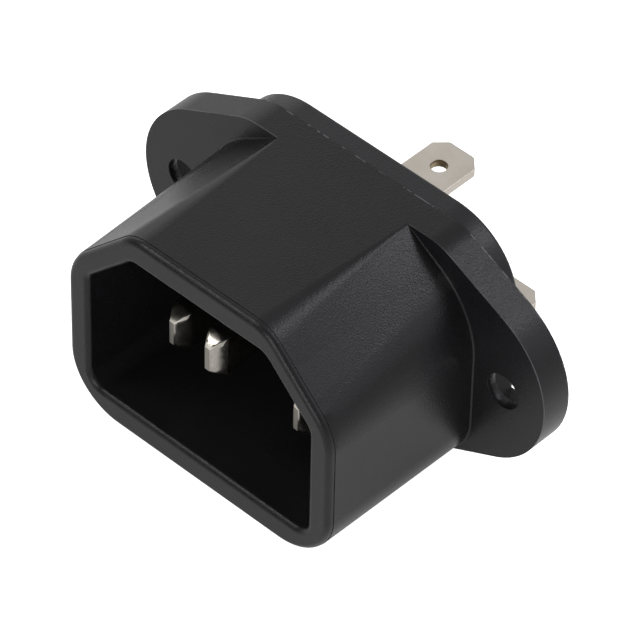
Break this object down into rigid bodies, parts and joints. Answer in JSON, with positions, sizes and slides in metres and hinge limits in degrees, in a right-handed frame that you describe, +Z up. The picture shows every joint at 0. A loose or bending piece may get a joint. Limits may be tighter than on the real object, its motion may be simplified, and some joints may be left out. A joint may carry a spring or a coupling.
{
  "type": "c14 panel inlet socket",
  "caption": "Screw-fixed C14 appliance inlet: black moulded shroud and flange, mating recess with flat blades, and flat wiring tabs behind.",
  "frame": {"origin": "midway between the two fixing holes, on the flange's front face, which seats against the panel", "axes": "+X across the inlet through the fixing holes, -Y out of the mating recess, +Y to the wiring tabs, +Z up, to the earth side"},
  "size_m": [0.0448, 0.0318, 0.0226],
  "materials": {
    "housing": "black thermoplastic, fine spark-eroded grain, satin",
    "blade_nickel": "bright nickel-plated brass",
    "tab_nickel": "satin nickel-plated brass strip"
  },
  "bodies": {
    "root": {"housing": "housing", "earth_pin": "blade_nickel", "line_pin": "blade_nickel", "neutral_pin": "blade_nickel", "earth_terminal": "tab_nickel", "line_terminal": "tab_nickel", "neutral_terminal": "tab_nickel"}
  },
  "joints": []
}
